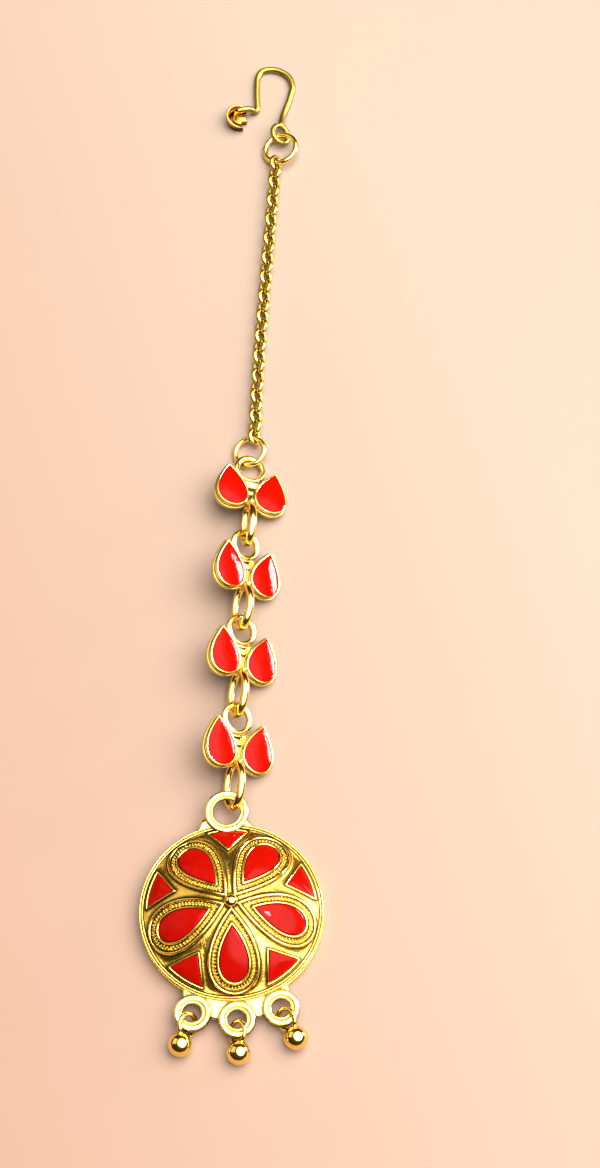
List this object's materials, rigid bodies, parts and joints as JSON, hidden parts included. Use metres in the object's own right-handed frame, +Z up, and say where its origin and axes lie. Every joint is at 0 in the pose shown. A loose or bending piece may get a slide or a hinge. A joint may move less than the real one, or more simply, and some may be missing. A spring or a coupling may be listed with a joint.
{
  "type": "maang tikka",
  "caption": "Gold-toned hair jewel: domed round pendant with red enamel flower and small ball drops, linked leaf pairs, cable chain and bent wire hook.",
  "frame": {"origin": "middle of the footprint of the jewel as it lies face up, on the surface that it rests on", "axes": "+Y along the jewel from the pendant to the hook, +Z up out of the pendant's face, +X to the right seen from above with the hook at the top"},
  "size_m": [0.025, 0.1616, 0.0072],
  "materials": {
    "gold_metal": "polished yellow gold plating, sandy in the sunk ground",
    "red_enamel": "glossy opaque enamel",
    "red_gold_metal": "polished reddish gold"
  },
  "bodies": {
    "root": {"pendant_body": "gold_metal", "petal_enamel_1": "red_enamel", "petal_enamel_2": "red_enamel", "petal_enamel_3": "red_enamel", "petal_enamel_4": "red_enamel", "petal_enamel_5": "red_enamel", "corner_enamel_1": "red_enamel", "corner_enamel_2": "red_enamel", "corner_enamel_3": "red_enamel", "corner_enamel_4": "red_enamel", "corner_enamel_5": "red_enamel", "drop_left": "gold_metal", "drop_middle": "gold_metal", "drop_right": "gold_metal", "leaf_link_1": "gold_metal", "leaf_enamel_1_left": "red_enamel", "leaf_enamel_1_right": "red_enamel", "leaf_link_2": "gold_metal", "leaf_enamel_2_left": "red_enamel", "leaf_enamel_2_right": "red_enamel", "leaf_link_3": "gold_metal", "leaf_enamel_3_left": "red_enamel", "leaf_enamel_3_right": "red_enamel", "leaf_link_4": "gold_metal", "leaf_enamel_4_left": "red_enamel", "leaf_enamel_4_right": "red_enamel", "lower_jump_ring": "gold_metal", "chain": "gold_metal", "top_jump_ring": "gold_metal", "hair_hook": "gold_metal", "tip_scroll": "red_gold_metal"}
  },
  "joints": []
}
